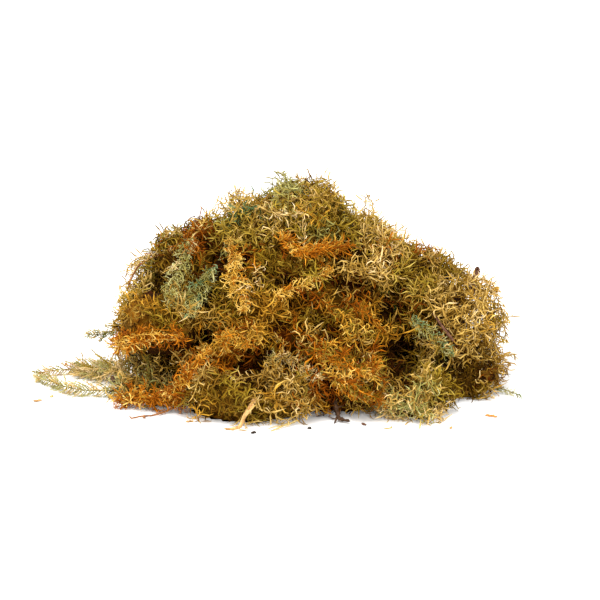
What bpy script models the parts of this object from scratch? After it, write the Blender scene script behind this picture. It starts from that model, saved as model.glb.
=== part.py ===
"""A heap of dried moss: tufts resting on each other, single fronds laid over them, twigs and fallen crumbs.

Twigs and fronds keep their whole shape, and each tuft is hollowed where they, or a tuft below it, press in.
Lengths are in millimetres and angles in degrees, turned into Blender's metres where they are used.
"""

import math

import bmesh
import bpy
from mathutils import Matrix, Vector, noise
from mathutils.bvhtree import BVHTree

MM = 0.001

CENTRE_SHIFT = Vector((0.9, 1.65, 0.0))    # brings the middle of the heap's outline onto the origin
GROUND_SIDE = 400.0
GAP = 0.3                       # left between pieces that touch
TUFT_SIDES = 11                 # faces round a tuft, and rings from its foot to its top
TUFT_RINGS = 7
TUFT_SWELL = 3.6                # how far a tuft's surface swells and dips
TUFT_LUMP = 21.0                # the breadth of one such swelling
FROND_SIDES = 6
TWIG_SIDES = 4
SUNK_SHARE = 0.35               # how much of a laid frond's thickness sinks between the tufts
CRUMB_FOOT = 0.4                # where a crumb's flat underside lies below its middle, in its thicknesses
CRUMB_BEND = 0.18

# The colour, centre, half-sizes and turn of each tuft, from the lowest laid to the topmost.
TUFTS = {
    "middle_tuft": ("olive", (0, -8, 33), (35, 36, 40), 10),
    "right_lobe_tuft": ("straw", (79, -2, 22), (23, 31, 27.5), -6),
    "left_flank_tuft": ("straw", (-51, -1, 27), (21, 31, 28), 8),
    "back_middle_tuft": ("olive", (12, 38, 24), (37, 31, 27), -12),
    "front_left_foot_tuft": ("olive", (-44, -24, 4), (29, 18, 9), 5),
    "front_left_tuft": ("olive", (-46, -19, 33), (26, 21, 16), 15),
    "front_middle_tuft": ("straw", (-12, -43, 8), (33, 23, 15), 0),
    "front_right_tuft": ("rust", (29, -30, 17), (27, 26, 25), -10),
    "back_left_tuft": ("olive", (-36, 34, 22), (33, 31, 28), 20),
    "back_right_tuft": ("straw", (53, 32, 22), (33, 33, 26), -25),
    "right_flank_tuft": ("olive", (60, 5, 34), (27, 32, 24), 0),
    "right_foot_tuft": ("olive", (82, -21, 7), (20, 14, 11), 0),
    "left_shoulder_tuft": ("olive", (-34.5, 6, 47), (25.5, 30, 23), 0),
    "right_shoulder_tuft": ("straw", (33, 2, 48), (27, 31, 26), 12),
    "back_shoulder_tuft": ("olive", (2, 26, 49), (31, 26, 27), 0),
    "left_crown_tuft": ("olive", (-9, 2, 62), (22, 24, 20), -15),
    "crown_tuft": ("straw", (11.3, 0, 66.5), (23, 25, 24), 0),
    "front_foot_tuft": ("straw", (59, -46, 7), (16, 15, 13), 18),
}

# Fronds laid on the heap's face: colour, thickness at the middle, and route as (x, height).
LAID_FRONDS = {
    "hanging_gold_frond": ("gold", 9.0, ((-21, 68), (-17, 63), (-18, 58), (-18, 53), (-16, 49), (-11, 45))),
    "upper_left_rust_frond": ("rust", 9.5, ((-67, 23), (-63, 29), (-54, 34), (-46, 33), (-41, 32))),
    "bright_orange_frond": ("rust", 11.0, ((-37, 18), (-31, 23), (-26, 25), (-21, 29))),
    "drooping_rust_frond": ("rust", 9.0, ((-20, 34), (-15, 35), (-11, 32), (-12, 26))),
    "middle_orange_frond": ("rust", 8.0, ((3, 71), (8, 67), (13, 64), (20, 67), (28, 66))),
    "gold_strand": ("gold", 5.0, ((0, 50), (7, 53), (15, 55), (23, 58))),
    "right_rust_frond": ("rust", 10.0, ((18, 31), (26, 28), (34, 24), (41, 21))),
    "front_rust_frond": ("rust", 8.5, ((25, 18), (32, 16), (38, 13), (44, 10))),
    "left_sage_frond": ("sage", 9.0, ((-37, 66), (-40, 61), (-42, 57), (-44, 52), (-45, 47))),
    "middle_sage_frond": ("sage", 8.0, ((-27, 56), (-31, 52), (-34, 47), (-37, 43))),
    "right_green_frond": ("sage", 7.5, ((59, 35), (65, 31), (70, 27), (75, 22))),
    "front_straw_frond": ("straw", 6.0, ((-2, 24), (6, 23), (13, 21), (19, 18))),
    "lobe_stem": ("bark", 1.6, ((68, 38), (73, 32), (78, 26))),
}

# Fronds that leave the heap: colour, thickness at the root and at the tip, and route in space.
FREE_FRONDS = {
    "lower_left_orange_frond": ("rust", 9.5, 8.0, ((-64, -37, 5), (-56, -41, 5.2), (-48, -43, 5.5), (-40, -46, 7))),
    "trailing_straw_frond": (
        "straw", 6.5, 2.4, ((-66, -4, 8), (-80, 2, 4.5), (-91, 4, 3), (-103, 3, 2.6), (-109.5, -1, 2))),
    "trailing_sage_frond": (
        "sage", 5.5, 2.4, ((-66, -28, 4), (-78, -26, 3), (-91, -23, 3), (-100, -14, 2.6), (-108, -6.5, 2))),
    "left_green_sprig": ("sage", 5.0, 1.8, ((-66, 2, 22), (-74, 2, 22.5), (-81, 1, 20), (-85.5, 0, 21.5))),
    "right_rim_frond": (
        "straw", 4.0, 2.4,
        ((84, -5, 46), (93, -5, 48.5), (97, -5, 42), (100, -5, 35.5), (102.5, -5, 27), (103.3, -5, 19))),
    "right_curl_frond": ("straw", 3.2, 2.0, ((99, -3, 9), (105, -3, 12), (108.2, -3, 11.5))),
    "right_foot_sprig": ("sage", 2.8, 1.6, ((93, -19, 2.8), (100, -22, 2), (104, -25, 1.6), (107.5, -28, 1.4))),
    "top_sprig": ("straw", 2.6, 1.3, ((11, -2, 86), (10.5, -2, 92.5), (8.5, -2, 94.5))),
    "left_shoulder_sprig": ("straw", 4.4, 2.0, ((-36, 0, 64), (-43, 0, 68), (-47, 0, 68.5), (-51, 0, 66.5))),
}

# Woody bits: thickness at each end, and route in space.
TWIGS = {
    "dark_twig": (2.0, 1.7, ((-72, -27, 9), (-68, -31, 5), (-64, -35, 1.2))),
    "budded_twig": (1.3, 1.0, ((-40, -42, 2.2), (-47, -49, 1.1), (-52, -53, 0.9), (-57, -54, 0.9), (-61, -56, 0.8))),
    "bark_stub": (2.4, 2.4, ((87, -5, 41), (88.4, -5, 48), (90.2, -5, 52))),
    "arched_stem": (1.4, 1.2, ((-67, -5, 42), (-62.5, -5, 52.5), (-55.5, -5, 57.5), (-45, -5, 60))),
    "front_dry_stem": (
        2.2, 1.6, ((-7.5, -62, 12), (-11, -65, 8), (-13.5, -67, 3.6), (-15, -69, 1.4), (-21, -69, 1.3))),
    "front_forked_stem": (1.2, 1.0, ((-1.5, -71.5, 0.9), (3, -66, 1.1), (9, -61, 1.6))),
    "dark_root": (2.0, 1.7, ((25, -53, 7), (26, -56, 4), (27, -59, 1.6), (31, -60.5, 1.3))),
}

# Crumbs fallen beside the heap: place on the ground, length, breadth, thickness and turn.
CRUMBS = {
    "left_chip": ((-104, -33), 4.2, 1.8, 1.0, 35),
    "left_flake": ((-99, -27.5), 3.6, 2.0, 0.8, -20),
    "front_chip": ((-36, -58.5), 3.4, 1.3, 0.9, 8),
    "dark_seed": ((-8.6, -71.5), 2.6, 1.3, 1.0, 15),
    "small_seed": ((14.4, -66.6), 2.0, 1.2, 0.9, 50),
    "straw_sliver": ((47, -65.7), 4.4, 1.1, 0.7, 25),
    "straw_grain": ((73, -65.7), 1.8, 1.2, 0.8, 60),
    "orange_splinter": ((91.3, -52.3), 6.5, 1.6, 1.0, -24),
    "brown_bit": ((37, -62), 2.6, 1.6, 1.0, -35),
}

COLOURS = {
    "straw": (0.36, 0.25, 0.09),
    "olive": (0.16, 0.12, 0.03),
    "rust": (0.42, 0.16, 0.02),
    "gold": (0.46, 0.27, 0.06),
    "sage": (0.20, 0.22, 0.10),
    "bark": (0.07, 0.035, 0.015),
}


def clear_scene():
    for obj in list(bpy.data.objects):
        bpy.data.objects.remove(obj)


def new_collection(name):
    collection = bpy.data.collections.new(name)
    bpy.context.scene.collection.children.link(collection)
    return collection


def finish_of(colour):
    """A dry, rough, non-metallic material, one for each colour."""
    material = bpy.data.materials.get(colour)
    if material is None:
        material = bpy.data.materials.new(colour)
        material.use_nodes = True
        shader = material.node_tree.nodes["Principled BSDF"]
        shader.inputs["Base Color"].default_value = (*COLOURS[colour], 1.0)
        shader.inputs["Roughness"].default_value = 0.9
        shader.inputs["Metallic"].default_value = 0.0
    return material


def put_in(obj, collection, colour):
    """Moves an object into a collection and gives it its finish."""
    for holder in list(obj.users_collection):
        holder.objects.unlink(obj)
    collection.objects.link(obj)
    obj.data.materials.clear()
    obj.data.materials.append(finish_of(colour))
    return obj


def heap_point(x, y, z):
    """A point of the heap in metres, measured from the origin under its middle."""
    return (Vector((x, y, z)) + CENTRE_SHIFT) * MM


def solid(name, collection, colour, faces):
    """A new object from a bmesh, with every face a triangle so that a copy of it is cut in just the same way."""
    bmesh.ops.triangulate(faces, faces=faces.faces)
    bmesh.ops.recalc_face_normals(faces, faces=faces.faces)
    mesh = bpy.data.meshes.new(name)
    faces.to_mesh(mesh)
    faces.free()
    obj = bpy.data.objects.new(name, mesh)
    bpy.context.scene.collection.objects.link(obj)
    return put_in(obj, collection, colour)


def tuft(name, collection, colour, centre, half_sizes, turn):
    """A lumpy ellipsoid of tangled moss, before anything presses into it."""
    ball = bmesh.new()
    bmesh.ops.create_uvsphere(ball, u_segments=TUFT_SIDES, v_segments=TUFT_RINGS, radius=1.0)
    shape = Matrix.Rotation(math.radians(turn), 3, "Z") @ Matrix.Diagonal(half_sizes)
    for vertex in ball.verts:
        outwards = shape @ vertex.co
        place = (Vector(centre) + outwards) / TUFT_LUMP
        swelling = noise.noise(place) + 0.4 * noise.noise(place * 2.7)
        vertex.co = (outwards + outwards.normalized() * TUFT_SWELL * swelling) * MM
    obj = solid(name, collection, colour, ball)
    obj.location = heap_point(*centre)
    return obj


def strand(name, collection, colour, points, thicknesses):
    """A strand along a smooth curve through points in metres, as one closed mesh."""
    sides = TWIG_SIDES if colour == "bark" else FROND_SIDES
    data = bpy.data.curves.new(name, "CURVE")
    data.dimensions = "3D"
    data.bevel_depth = 0.5 * MM
    data.bevel_resolution = (sides - 4) // 2
    data.use_fill_caps = True
    data.resolution_u = 2
    spline = data.splines.new("BEZIER")
    spline.bezier_points.add(len(points) - 1)
    for knot, point, thickness in zip(spline.bezier_points, points, thicknesses):
        knot.co = point
        knot.radius = thickness
        knot.handle_left_type = knot.handle_right_type = "AUTO"
    curve = bpy.data.objects.new(name + "_curve", data)
    bpy.context.scene.collection.objects.link(curve)
    bpy.context.view_layer.update()
    mesh = bpy.data.meshes.new_from_object(curve.evaluated_get(bpy.context.evaluated_depsgraph_get()))
    bpy.data.objects.remove(curve)
    welded = bmesh.new()
    welded.from_mesh(mesh)
    bmesh.ops.remove_doubles(welded, verts=welded.verts, dist=0.01 * MM)
    return solid(name, collection, colour, welded)


def tapered(count, root, tip):
    """Thicknesses from root to tip, one for each point of a strand."""
    return [root + (tip - root) * i / (count - 1) for i in range(count)]


def bushy(count, middle):
    """Thicknesses of a bushy frond: full in the middle, drawn in at both ends."""
    return [middle * (0.45 + 0.55 * math.sin(math.pi * (i + 0.35) / (count - 0.3))) for i in range(count)]


def heap_face(tufts):
    """A function giving where a level line from the front first meets the tufts, at (x, height)."""
    bpy.context.view_layer.update()
    graph = bpy.context.evaluated_depsgraph_get()
    trees = [(obj.matrix_world, BVHTree.FromObject(obj, graph)) for obj in tufts]

    def meeting(x, height):
        start = heap_point(x, -GROUND_SIDE, height)
        found = [(pose, tree.ray_cast(pose.inverted() @ start, Vector((0, 1, 0)))[0]) for pose, tree in trees]
        return min((pose @ hit for pose, hit in found if hit is not None), key=lambda point: point.y)

    return meeting


def laid_frond(name, collection, colour, thickness, route, meeting):
    """A frond that lies on the heap's face, partly sunk between the tufts."""
    thicknesses = bushy(len(route), thickness)
    forwards = [Vector((0, -across * (0.5 - SUNK_SHARE) * MM, 0)) for across in thicknesses]
    points = [meeting(*spot) + step for spot, step in zip(route, forwards)]
    return strand(name, collection, colour, points, thicknesses)


def crumb(name, collection, spot, length, breadth, thickness, turn):
    """A bent chip of leaf or stem lying flat on the ground."""
    chip = bmesh.new()
    bmesh.ops.create_icosphere(chip, subdivisions=1, radius=1.0)
    pose = Matrix.Rotation(math.radians(turn), 3, "Z")
    for vertex in chip.verts:
        x, y, z = vertex.co
        y += CRUMB_BEND * x * x
        vertex.co = pose @ Vector((x * length / 2, y * breadth / 2, max(z, -CRUMB_FOOT) * thickness)) * MM
    solid(name, collection, "bark", chip).location = heap_point(*spot, CRUMB_FOOT * thickness)


def hide_as_cutter(obj):
    obj.hide_render = True
    obj.display_type = "WIRE"
    return obj


def ground_cutter(collection):
    """A block whose top is the ground, z = 0."""
    bpy.ops.mesh.primitive_cube_add(size=GROUND_SIDE * MM, location=(0, 0, -GROUND_SIDE / 2 * MM))
    block = bpy.context.active_object
    block.name = "cutter_ground"
    return hide_as_cutter(put_in(block, collection, "bark"))


def grown_cutter(obj, collection):
    """A copy of a piece's whole shape, thicker by the gap, that hollows the pieces laid over it."""
    cutter = obj.copy()
    cutter.name = "cutter_" + obj.name
    cutter.modifiers.clear()
    collection.objects.link(cutter)
    swell = cutter.modifiers.new("gap", "DISPLACE")
    swell.strength = GAP * MM
    swell.mid_level = 0.0
    return hide_as_cutter(cutter)


def cut(obj, cutter):
    hollow = obj.modifiers.new(cutter.name, "BOOLEAN")
    hollow.operation = "DIFFERENCE"
    hollow.solver = "EXACT"
    hollow.object = cutter


def box_of(obj):
    corners = [obj.matrix_world @ Vector(corner) for corner in obj.bound_box]
    return [(min(c[axis] for c in corners), max(c[axis] for c in corners)) for axis in range(3)]


def boxes_meet(first, second):
    return all(a[0] < b[1] and b[0] < a[1] for a, b in zip(box_of(first), box_of(second)))


def hollow_each_by_those_before(pieces, cutters, ground):
    """Cuts each piece by the ground and by every earlier piece that it could touch."""
    bpy.context.view_layer.update()
    before = []
    for piece in pieces:
        if boxes_meet(piece, ground):
            cut(piece, ground)
        for earlier, cutter in before:
            if boxes_meet(piece, earlier):
                cut(piece, cutter)
        before.append((piece, grown_cutter(piece, cutters)))


def main():
    clear_scene()
    heap = new_collection("moss_heap")
    cutters = new_collection("cutters")

    tufts = [tuft(name, heap, *shape) for name, shape in TUFTS.items()]
    meeting = heap_face(tufts)
    strands = []
    for name, (root, tip, route) in TWIGS.items():
        points = [heap_point(*spot) for spot in route]
        strands.append(strand(name, heap, "bark", points, tapered(len(route), root, tip)))
    for name, (colour, root, tip, route) in FREE_FRONDS.items():
        points = [heap_point(*spot) for spot in route]
        strands.append(strand(name, heap, colour, points, tapered(len(route), root, tip)))
    for name, (colour, thickness, route) in LAID_FRONDS.items():
        strands.append(laid_frond(name, heap, colour, thickness, route, meeting))
    for name, shape in CRUMBS.items():
        crumb(name, heap, *shape)
    hollow_each_by_those_before(strands + tufts, cutters, ground_cutter(cutters))


main()
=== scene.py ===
"""A heap of dried moss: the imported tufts, fronds, twigs and crumbs, each dressed as the real thing.

Lengths are in metres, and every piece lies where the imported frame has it.
"""

import heapq
import math

import bmesh
import bpy
import numpy as np
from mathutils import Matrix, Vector, noise
from mathutils.bvhtree import BVHTree
from mathutils.kdtree import KDTree


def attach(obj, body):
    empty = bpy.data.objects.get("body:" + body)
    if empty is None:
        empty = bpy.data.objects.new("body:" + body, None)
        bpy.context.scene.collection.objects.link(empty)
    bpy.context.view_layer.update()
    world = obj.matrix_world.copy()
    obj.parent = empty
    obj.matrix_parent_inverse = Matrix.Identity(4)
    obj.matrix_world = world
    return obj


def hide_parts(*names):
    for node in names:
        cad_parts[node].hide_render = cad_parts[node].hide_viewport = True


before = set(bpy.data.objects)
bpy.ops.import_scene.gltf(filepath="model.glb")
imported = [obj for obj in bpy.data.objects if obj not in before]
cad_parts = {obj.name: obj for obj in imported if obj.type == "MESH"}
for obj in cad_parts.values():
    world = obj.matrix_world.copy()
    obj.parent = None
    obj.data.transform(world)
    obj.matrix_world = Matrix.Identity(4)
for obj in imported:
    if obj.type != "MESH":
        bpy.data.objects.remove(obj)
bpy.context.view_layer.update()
scene = bpy.context.scene
MM = 0.001


# The ground, the light and the camera.
# The heap lies on a plain white sheet under a broad soft light from above and in front.

heap_middle = Vector((11.3, 1.65, 36.5)) * MM
camera_rise = math.radians(16)
camera_distance = 640 * MM
sheet_size = 8.0

bpy.ops.mesh.primitive_plane_add(size=sheet_size)
ground = bpy.context.active_object
ground.name = "ground"
ground_finish = bpy.data.materials.new("white sheet")
ground_finish.use_nodes = True
ground_shader = ground_finish.node_tree.nodes["Principled BSDF"]
ground_shader.inputs["Base Color"].default_value = (0.9, 0.9, 0.89, 1)
ground_shader.inputs["Roughness"].default_value = 0.9
ground_shader.inputs["Specular IOR Level"].default_value = 0.1
ground.data.materials.append(ground_finish)

world = bpy.data.worlds.new("white room")
world.use_nodes = True
world.node_tree.nodes["Background"].inputs["Color"].default_value = (1, 1, 1, 1)
world.node_tree.nodes["Background"].inputs["Strength"].default_value = 1.25
scene.world = world


def in_scene(name, data):
    """A new object at the origin that holds a mesh, a lamp or a camera."""
    obj = bpy.data.objects.new(name, data)
    scene.collection.objects.link(obj)
    return obj


def soft_lamp(name, place, size, power):
    """A square lamp that faces the heap."""
    data = bpy.data.lights.new(name, "AREA")
    data.size = size
    data.energy = power
    lamp = in_scene(name, data)
    lamp.location = place
    lamp.rotation_euler = (heap_middle - Vector(place)).to_track_quat("-Z", "Y").to_euler()


soft_lamp("top lamp", (-0.35, -0.35, 1.1), 0.7, 20.0)
soft_lamp("front lamp", (0.5, -1.1, 0.55), 0.6, 10.0)

camera = in_scene("camera", bpy.data.cameras.new("camera"))
camera.data.lens = 85
camera.data.clip_start = 0.01
back = Vector((0, -math.cos(camera_rise), math.sin(camera_rise)))
camera.location = heap_middle + camera_distance * back
camera.rotation_euler = (-back).to_track_quat("-Z", "Y").to_euler()
scene.camera = camera
scene.view_settings.view_transform = "Standard"


# The heap's skin: one closed surface over all the tufts together.
# Shoots lie along it, and every tuft takes the stretch that is nearest to it.

tuft_names = sorted(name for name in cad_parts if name.endswith("_tuft"))


def node_shape(name, grow=0.0):
    """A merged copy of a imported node's mesh, grown outwards a little if asked."""
    solid = bmesh.new()
    solid.from_mesh(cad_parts[name].data)
    bmesh.ops.remove_doubles(solid, verts=solid.verts, dist=0.02 * MM)
    solid.normal_update()
    for vertex in solid.verts:
        vertex.co += vertex.normal * grow
    return solid


def as_mesh(name, shape):
    """The mesh of a shape, which is used up."""
    mesh = bpy.data.meshes.new(name)
    shape.to_mesh(mesh)
    shape.free()
    return mesh


def made_plain(obj):
    """The mesh that an object's modifiers make of it. The object is used up."""
    made = bpy.data.meshes.new_from_object(obj.evaluated_get(bpy.context.evaluated_depsgraph_get()))
    bpy.data.objects.remove(obj)
    return made


def remeshed(name, mesh, cell):
    """A closed mesh of the same shape, in even cells."""
    obj = in_scene(name, mesh)
    remesh = obj.modifiers.new("even", "REMESH")
    remesh.mode = "VOXEL"
    remesh.voxel_size = cell
    return made_plain(obj)


def one_mesh(name, meshes):
    """Several meshes in one. They are used up."""
    whole = bmesh.new()
    for mesh in meshes:
        whole.from_mesh(mesh)
        bpy.data.meshes.remove(mesh)
    return as_mesh(name, whole)


# Grown until they touch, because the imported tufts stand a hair's breadth apart.
grown_tufts = [as_mesh(name, node_shape(name, grow=0.3 * MM)) for name in tuft_names]
skin_mesh = remeshed("skin", one_mesh("tufts", grown_tufts), 2.0 * MM)
skin = in_scene("skin", skin_mesh)

tuft_corners, tuft_faces, face_owner = [], [], []
for number, name in enumerate(tuft_names):
    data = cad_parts[name].data
    start = len(tuft_corners)
    tuft_corners += [v.co.copy() for v in data.vertices]
    tuft_faces += [[start + i for i in p.vertices] for p in data.polygons]
    face_owner += [number] * len(data.polygons)
tuft_tree = BVHTree.FromPolygons(tuft_corners, tuft_faces)
skin_owner = np.array(
    [face_owner[tuft_tree.find_nearest(polygon.center)[2]] for polygon in skin_mesh.polygons])
skin_tree = BVHTree.FromPolygons(
    [v.co for v in skin_mesh.vertices], [tuple(p.vertices) for p in skin_mesh.polygons])


# The hollows, sunk in and darkened with painted shade: the creases where tufts meet, many small gaps, and the caves
# on the heap's face.
# A spot on the face is given in millimetres, by its middle and half-sizes across and up, as spots
# line up when the heap is looked at from a little above its front.

CENTRE_SHIFT = Vector((0.9, 1.65, 0.0))
CAVES = (
    (-46, 19, 12, 7), (-31, 26, 6, 5), (-11, 17, 9, 5), (-7, 9, 5, 3), (12, 16, 6, 3), (24, 32, 4, 4),
    (11, 43, 5, 4), (51, 41, 6, 7), (53, 18, 9, 14), (5, 52, 6, 4), (-4, 57, 3, 3), (-23, 59, 3, 5),
    (-14, 63, 6, 3), (20, 55, 4, 3), (28, 72, 3, 5), (35, 66, 4, 3), (-33, 45, 5, 4), (-55, 52, 5, 5),
    (37, 50, 4, 3), (66, 62, 5, 3), (78, 45, 4, 3), (72, 18, 4, 3), (90, 26, 3, 4), (-70, 30, 4, 3),
    (0, 36, 4, 3),
)
# Where the moss lies so loose that light shows through, where painted shade darkens it, and where painted light
# brightens it.
LOOSE = ((96, 34, 11, 16), (-62, 50, 9, 11), (88, 50, 8, 5), (-71, 12, 7, 10))
PAINTED_SHADE_SPOTS = ((80, 12, 12, 8), (66, 30, 8, 9), (20, 0, 14, 5), (-42, 62, 12, 8), (-28, 4, 12, 7), (74, 4, 8, 6))
PAINTED_LIGHT_SPOTS = ((-70, 15, 11, 10), (64, 0, 9, 5), (-72, 38, 9, 14))
HOLLOW_DEPTH = 10 * MM
CREASE_DEPTH = 1.3 * MM
CREASE_ROUNDS = 12
FACE_FRONT = 30


def smooth(value):
    """A step from 0 to 1 with soft ends."""
    value = min(max(value, 0.0), 1.0)
    return value * value * (3 - 2 * value)


def table_place(point):
    """A point of the heap in millimetres from the heap's own middle, as the tables have it."""
    return Vector(point) / MM - CENTRE_SHIFT


def face_height(place):
    """How high on the heap's face a place stands, as the tables have it."""
    return place.z + (place.y + FACE_FRONT) * math.tan(camera_rise)


def inside(place, spots, behind=5):
    """How far inside one of the spots on the heap's front a place lies, from 0 to 1."""
    if place.y > behind:
        return 0.0
    up = face_height(place)
    return smooth(1.2 * max(1.4 - math.hypot((place.x - x) / a, (up - z) / b) for x, z, a, b in spots))


def marked(mesh, domain, **values):
    """Stores numbers on a mesh, each list under its own name."""
    for label, numbers in values.items():
        mesh.attributes.new(label, "FLOAT", domain).data.foreach_set("value", numbers)


points = np.array([v.co for v in skin_mesh.vertices])
normals = np.array([v.normal for v in skin_mesh.vertices])
edges = np.array([e.vertices for e in skin_mesh.edges])
rounded = points.copy()
for _ in range(CREASE_ROUNDS):
    gathered, count = np.zeros_like(points), np.zeros(len(points))
    for near, far in (edges.T, edges.T[::-1]):
        np.add.at(gathered, near, rounded[far])
        np.add.at(count, near, 1)
    rounded = gathered / count[:, None]
creases = ((rounded - points) * normals).sum(1) / CREASE_DEPTH
hollows = []
for point, crease in zip(points, creases):
    place = table_place(point)
    gaps = 0.85 * smooth((noise.noise(place / 5.5) + 0.4 * noise.noise(place / 2.5) - 0.2) / 0.2)
    hollows.append(min(1.0, max(inside(place, CAVES), gaps, smooth(crease - 0.3))))
marked(skin_mesh, "POINT", hollow=hollows)


# The middle line of a packed frond or twig, found from its own shape.

def reaches(links, start):
    """The distance along a mesh's edges from one corner to every other."""
    far, queue = {start: 0.0}, [(0.0, start)]
    while queue:
        distance, at = heapq.heappop(queue)
        if distance > far[at]:
            continue
        for other, length in links[at]:
            if distance + length < far.get(other, 1e9):
                far[other] = distance + length
                heapq.heappush(queue, (far[other], other))
    return far


def centreline(name, towards, count=12):
    """Points along the middle of a node, from its root to the end that lies towards a direction."""
    shape = node_shape(name)
    bmesh.ops.subdivide_edges(shape, edges=shape.edges, cuts=2)
    shape.verts.ensure_lookup_table()
    links = {
        v.index: [(e.other_vert(v).index, e.calc_length()) for e in v.link_edges] for v in shape.verts}
    first = reaches(links, 0)
    root = max(first, key=first.get)
    from_root = reaches(links, root)
    tip = max(from_root, key=from_root.get)
    from_tip = reaches(links, tip)
    groups = [[] for _ in range(count)]
    for v in shape.verts:
        share = from_root[v.index] / (from_root[v.index] + from_tip[v.index])
        groups[min(int(share * count), count - 1)].append(v.co.copy())
    line = [sum(group, Vector()) / len(group) for group in groups if group]
    ends = shape.verts[root].co.copy(), shape.verts[tip].co.copy()
    shape.free()
    line = [line[0].lerp(ends[0], 0.6), *line, line[-1].lerp(ends[1], 0.6)]
    return line if (line[-1] - line[0]).dot(Vector(towards)) > 0 else line[::-1]


# Moss branchlets: the short side shoots of feather moss, with leaves too small to tell apart.
# They dry into hooks and curls, thick in the middle and thin at both ends.
# Each is made one unit long along X, and its corners know how far along and across it they lie.

leaves = bpy.data.collections.new("branchlets")
SIDES = 3
FINE_STEPS = 40


def branchlet(name, turns, half, rings=2, sway=0.0):
    """A closed three-sided shoot that turns so many degrees up to its middle, and again to its tip."""
    shape = bmesh.new()
    along, across = (shape.verts.layers.float.new(label) for label in ("along", "across"))

    def corner(place, s, t):
        made = shape.verts.new(place)
        made[along], made[across] = s, t
        return made

    place, slope, line = Vector((0, 0, 0)), math.radians(-turns[0] / 3), []
    for step in range(FINE_STEPS + 1):
        line.append((place.copy(), slope))
        turn = turns[0] if step < FINE_STEPS / 2 else turns[1]
        slope += math.radians(turn) / (FINE_STEPS / 2)
        aside = sway * math.sin(math.pi * step / FINE_STEPS)
        place += Vector((math.cos(slope), aside, math.sin(slope))) / FINE_STEPS
    circles = []
    for ring in range(1, rings + 1):
        s = ring / (rings + 1)
        middle, slope = line[round(s * FINE_STEPS)]
        width = half * math.sin(math.pi * s) ** 0.6 * (1.45 - 0.6 * s)
        up = Vector((-math.sin(slope), 0, math.cos(slope)))
        circle = []
        for side in range(SIDES):
            angle = 2 * math.pi * side / SIDES + math.pi / 6
            offset = Vector((0, math.cos(angle), 0)) + up * math.sin(angle)
            circle.append(corner(middle + width * offset, s, math.cos(angle)))
        circles.append(circle)
    base, tip = corner(line[0][0], 0.0, 0.0), corner(line[-1][0], 1.0, 0.0)
    for i in range(SIDES):
        j = (i + 1) % SIDES
        shape.faces.new((base, circles[0][j], circles[0][i]))
        shape.faces.new((tip, circles[-1][i], circles[-1][j]))
        for first, second in zip(circles, circles[1:]):
            shape.faces.new((first[i], first[j], second[j], second[i]))
    bmesh.ops.recalc_face_normals(shape, faces=shape.faces)
    leaves.objects.link(bpy.data.objects.new(name, as_mesh(name, shape)))


branchlet("a_bowed", (20, 30), 0.043, rings=1)
branchlet("b_swept", (45, 20), 0.041, rings=1, sway=0.25)
branchlet("c_curved", (40, 70), 0.040)
branchlet("d_hooked", (15, 130), 0.040)
branchlet("e_waved", (70, -95), 0.038, sway=-0.3)
branchlet("f_curled", (90, 120), 0.037, rings=3)
branchlet("g_coiled", (130, 190), 0.035, rings=3, sway=0.25)
branchlet("h_wound", (170, 60), 0.036, rings=3, sway=-0.35)


# The finish of moss: dull and dry, with painted shade: dark where it lies deep, and browner the deeper the painted
# shade.
# Across its map runs the kind of moss, six kinds with three colours each. Along it runs the
# branchlet from base to tip, once for each of eight steps of painted shade.

MAP = "OFBake"
SHADES = 8
# Each kind: where it starts across the map, and its dark, middle and pale colours.
KINDS = {
    "straw": (0.020, [(0.36, 0.215, 0.035), (0.58, 0.400, 0.125), (0.82, 0.64, 0.40)]),
    "olive": (0.185, [(0.17, 0.108, 0.006), (0.31, 0.215, 0.024), (0.50, 0.385, 0.10)]),
    "rust": (0.350, [(0.17, 0.040, 0.002), (0.38, 0.115, 0.004), (0.66, 0.265, 0.020)]),
    "gold": (0.515, [(0.40, 0.20, 0.018), (0.64, 0.37, 0.055), (0.88, 0.62, 0.20)]),
    "sage": (0.680, [(0.17, 0.150, 0.030), (0.33, 0.315, 0.11), (0.60, 0.58, 0.31)]),
    "pine": (0.845, [(0.05, 0.085, 0.035), (0.115, 0.19, 0.095), (0.26, 0.38, 0.22)]),
}
KIND_WIDTH = 0.12
# How fast red, green and blue fade as the painted shade deepens, which paints the shade browner.
PAINTED_SHADE_BROWNING = (0.85, 1.1, 2.0)


def new_tree(name, kind, inputs, outputs):
    """A node group with named sockets, and its input and output nodes."""
    tree = bpy.data.node_groups.new(name, kind)
    for label, socket, default in inputs:
        made = tree.interface.new_socket(label, in_out="INPUT", socket_type=socket)
        if default is not None:
            made.default_value = default
    for label, socket in outputs:
        tree.interface.new_socket(label, in_out="OUTPUT", socket_type=socket)
    return tree, tree.nodes.new("NodeGroupInput"), tree.nodes.new("NodeGroupOutput")


def add(tree, kind, links=None, **settings):
    """A node with its settings, and its inputs linked from sockets or set to values."""
    node = tree.nodes.new(kind)
    for label, value in settings.items():
        setattr(node, label, value)
    for label, value in (links or {}).items():
        socket = node.inputs[label]
        if isinstance(value, bpy.types.NodeSocket):
            tree.links.new(value, socket)
        else:
            socket.default_value = value
    return node


def sums(tree, operation, *values):
    """One step of arithmetic, as its result's socket."""
    return add(tree, "ShaderNodeMath", dict(enumerate(values)), operation=operation).outputs[0]


def times(tree, first, *others):
    for other in others:
        first = sums(tree, "MULTIPLY", first, other)
    return first


def plus(tree, first, *others):
    for other in others:
        first = sums(tree, "ADD", first, other)
    return first


def minus(tree, first, second):
    return sums(tree, "SUBTRACT", first, second)


def over(tree, first, second):
    return sums(tree, "DIVIDE", first, second)


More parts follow.
